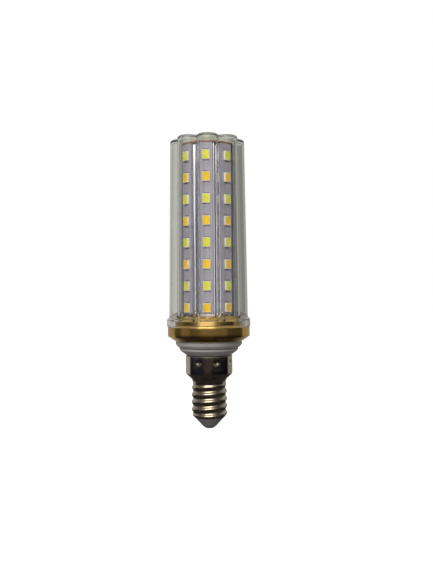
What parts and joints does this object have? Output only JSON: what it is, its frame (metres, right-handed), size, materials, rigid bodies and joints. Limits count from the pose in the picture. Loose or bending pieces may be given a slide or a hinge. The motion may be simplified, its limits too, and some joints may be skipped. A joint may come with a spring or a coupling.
{
  "type": "led light bulb",
  "caption": "Slim LED lamp on a small screw cap: a fluted clear cover over an LED column, a gold collar and a white neck.",
  "frame": {"origin": "foot of the centre contact, on the lamp's axis", "axes": "+Z along the lamp's axis, from the cap to the closed end of the cover"},
  "size_m": [0.0324, 0.0324, 0.1121],
  "materials": {
    "clear_plastic": "clear moulded polycarbonate, polished",
    "gold_aluminium": "turned aluminium, gold anodised",
    "white_plastic": "moulded, semi-matt",
    "nickel_plate": "rolled brass sheet, bright nickel plated",
    "dark_insulator": "moulded dark insulator",
    "tinned_contact": "pressed brass, tinned",
    "column_aluminium": "extruded, plain",
    "strip_mask": "aluminium board under a pale solder mask",
    "package_white": "moulded white package",
    "cool_phosphor": "silicone with cool white phosphor",
    "warm_phosphor": "silicone with warm white phosphor",
    "top_laminate": "pale solder mask on brown laminate",
    "driver_laminate": "green solder mask on glass laminate",
    "black_sleeve": "heat-shrunk sleeve",
    "chip_epoxy": "moulded epoxy",
    "resistor_lacquer": "lacquered ceramic body",
    "wire_sleeve": "insulated wire"
  },
  "bodies": {
    "root": {"clear_cover": "clear_plastic", "collar": "gold_aluminium", "neck_housing": "white_plastic", "screw_shell": "nickel_plate", "cap_insulator": "dark_insulator", "centre_contact": "tinned_contact", "led_column": "column_aluminium", "top_board": "top_laminate", "top_led_packages": "package_white", "top_cool_phosphor": "cool_phosphor", "top_warm_phosphor": "warm_phosphor", "driver_board": "driver_laminate", "bulk_capacitor": "black_sleeve", "output_capacitor": "black_sleeve", "inductor": "black_sleeve", "bridge_rectifier": "chip_epoxy", "driver_chip": "chip_epoxy", "fuse_resistor": "resistor_lacquer", "neutral_lead": "wire_sleeve", "output_leads": "wire_sleeve", "strip_board_1": "strip_mask", "led_packages_1": "package_white", "cool_phosphor_1": "cool_phosphor", "warm_phosphor_1": "warm_phosphor", "strip_board_2": "strip_mask", "led_packages_2": "package_white", "cool_phosphor_2": "cool_phosphor", "warm_phosphor_2": "warm_phosphor", "strip_board_3": "strip_mask", "led_packages_3": "package_white", "cool_phosphor_3": "cool_phosphor", "warm_phosphor_3": "warm_phosphor", "strip_board_4": "strip_mask", "led_packages_4": "package_white", "cool_phosphor_4": "cool_phosphor", "warm_phosphor_4": "warm_phosphor", "strip_board_5": "strip_mask", "led_packages_5": "package_white", "cool_phosphor_5": "cool_phosphor", "warm_phosphor_5": "warm_phosphor", "strip_board_6": "strip_mask", "led_packages_6": "package_white", "cool_phosphor_6": "cool_phosphor", "warm_phosphor_6": "warm_phosphor", "strip_board_7": "strip_mask", "led_packages_7": "package_white", "cool_phosphor_7": "cool_phosphor", "warm_phosphor_7": "warm_phosphor", "strip_board_8": "strip_mask", "led_packages_8": "package_white", "cool_phosphor_8": "cool_phosphor", "warm_phosphor_8": "warm_phosphor"}
  },
  "joints": []
}
